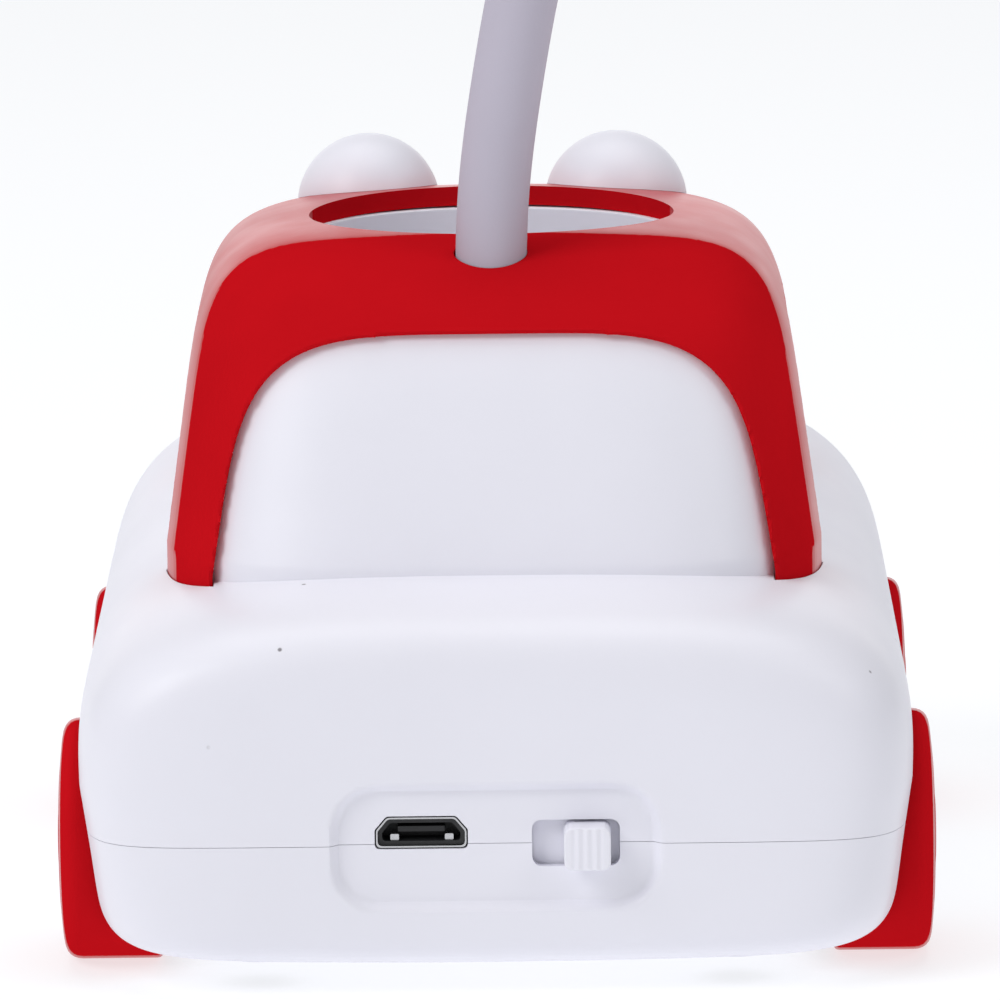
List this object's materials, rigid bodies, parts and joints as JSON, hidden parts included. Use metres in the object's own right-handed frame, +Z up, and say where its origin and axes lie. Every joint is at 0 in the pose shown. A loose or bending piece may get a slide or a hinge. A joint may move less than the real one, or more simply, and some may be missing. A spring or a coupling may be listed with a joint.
{
  "type": "pull back car lamp",
  "caption": "Toy car with a white body, red roof frame and red wheels; a pen cup sinks into the roof and a bendable neck carries a round lamp head.",
  "frame": {"origin": "on the ground, midway between the two axles and on the car's middle plane", "axes": "+Y towards the car's nose, +X its right side, +Z up"},
  "size_m": [0.0748, 0.11, 0.2766],
  "materials": {
    "white_plastic": "satin white ABS with a faint lilac cast",
    "red_plastic": "semi-gloss red ABS",
    "neck_rubber": "smooth matt lilac-grey silicone sleeve",
    "steel": "plain bright steel",
    "brass": "turned brass",
    "black_plastic": "matt black",
    "circuit_board": "green solder mask",
    "motor_plastic": "natural nylon",
    "gear_plastic": "natural acetal",
    "battery_wrap": "blue shrink wrap over a metal can",
    "frosted_lens": "frosted translucent",
    "headlight_lens": "clear, glossy",
    "wire_insulation": "soft red insulation"
  },
  "bodies": {
    "car": {"ballast_plate": "steel", "battery_cell": "battery_wrap", "battery_lead": "wire_insulation", "case_screw_1": "steel", "case_screw_2": "steel", "case_screw_3": "steel", "case_screw_4": "steel", "charge_board": "circuit_board", "ear_left": "white_plastic", "ear_right": "white_plastic", "front_bumper": "red_plastic", "headlight_left": "headlight_lens", "headlight_right": "headlight_lens", "lamp_lead": "wire_insulation", "lower_shell": "white_plastic", "mainspring": "steel", "motor_case_left": "motor_plastic", "motor_case_right": "motor_plastic", "neck_core_0": "steel", "neck_ferrule": "brass", "neck_nut": "brass", "neck_sleeve_0": "neck_rubber", "pen_cup": "white_plastic", "roof_frame": "red_plastic", "switch_body": "steel", "upper_shell": "white_plastic", "usb_shell": "steel", "usb_tongue": "black_plastic"},
    "rear_axle_set": {"rear_axle": "steel", "rear_wheel_left": "red_plastic", "rear_wheel_right": "red_plastic", "axle_pinion": "gear_plastic"},
    "front_axle_set": {"front_axle": "steel", "front_wheel_left": "red_plastic", "front_wheel_right": "red_plastic"},
    "idler": {"idler_gear": "gear_plastic"},
    "spring_barrel": {"spring_gear": "gear_plastic"},
    "switch_slider": {"switch_knob": "white_plastic"},
    "neck_1": {"neck_core_1": "steel", "neck_sleeve_1": "neck_rubber"},
    "neck_2": {"neck_core_2": "steel", "neck_sleeve_2": "neck_rubber"},
    "neck_3": {"neck_core_3": "steel", "neck_sleeve_3": "neck_rubber"},
    "neck_4": {"neck_core_4": "steel", "neck_sleeve_4": "neck_rubber"},
    "neck_5": {"neck_core_5": "steel", "neck_sleeve_5": "neck_rubber"},
    "neck_6": {"neck_core_6": "steel", "neck_sleeve_6": "neck_rubber"},
    "neck_7": {"neck_core_7": "steel", "neck_sleeve_7": "neck_rubber", "head_back": "white_plastic", "head_trim": "red_plastic", "head_diffuser": "frosted_lens", "led_board": "circuit_board", "head_collar": "white_plastic"}
  },
  "joints": [
    {"name": "rear_wheels", "type": "hinge", "parent": "car", "child": "rear_axle_set", "pos_m": [0, -0.0335, 0.0103], "axis": [1, 0, 0], "continuous": true},
    {"name": "front_wheels", "type": "hinge", "parent": "car", "child": "front_axle_set", "pos_m": [0, 0.0335, 0.0103], "axis": [1, 0, 0], "continuous": true},
    {"name": "idler_turn", "type": "hinge", "parent": "car", "child": "idler", "pos_m": [0, -0.0287, 0.01682], "axis": [1, 0, 0], "continuous": true},
    {"name": "spring_barrel_turn", "type": "hinge", "parent": "car", "child": "spring_barrel", "pos_m": [0, -0.0361, 0.02012], "axis": [1, 0, 0], "continuous": true},
    {"name": "switch_slide", "type": "slide", "parent": "car", "child": "switch_slider", "axis": [1, 0, 0], "range_m": [-0.002, 0]},
    {"name": "neck_bend_1", "type": "hinge", "parent": "car", "child": "neck_1", "pos_m": [0, -0.024, 0.066], "axis": [0.995, 0.0002, -0.0996], "range_deg": [-17, 17]},
    {"name": "neck_bend_2", "type": "hinge", "parent": "neck_1", "child": "neck_2", "pos_m": [0.00467, -0.02325, 0.0891], "axis": [0, 0.9976, -0.0696], "range_deg": [-25, 25]},
    {"name": "neck_bend_3", "type": "hinge", "parent": "neck_2", "child": "neck_3", "pos_m": [0.01005, -0.02076, 0.11225], "axis": [0.9843, -0.027, -0.1745], "range_deg": [-22, 22]},
    {"name": "neck_bend_4", "type": "hinge", "parent": "neck_3", "child": "neck_4", "pos_m": [0.01305, -0.01613, 0.13518], "axis": [0, 0.9768, -0.2143], "range_deg": [-21, 21]},
    {"name": "neck_bend_5", "type": "hinge", "parent": "neck_4", "child": "neck_5", "pos_m": [0.01247, -0.01065, 0.15833], "axis": [0.9966, 0.0192, 0.0799], "range_deg": [-23, 23]},
    {"name": "neck_bend_6", "type": "hinge", "parent": "neck_5", "child": "neck_6", "pos_m": [0.00918, -0.00513, 0.181], "axis": [0, 0.9646, -0.2638], "range_deg": [-24, 24]},
    {"name": "neck_bend_7", "type": "hinge", "parent": "neck_6", "child": "neck_7", "pos_m": [0.00413, 0.00162, 0.20317], "axis": [0.9809, 0.072, 0.1807], "range_deg": [-20, 20]}
  ],
  "couplings": [
    {"joint": "idler_turn", "follows": "rear_wheels", "ratio": -0.5},
    {"joint": "spring_barrel_turn", "follows": "rear_wheels", "ratio": 0.25}
  ]
}
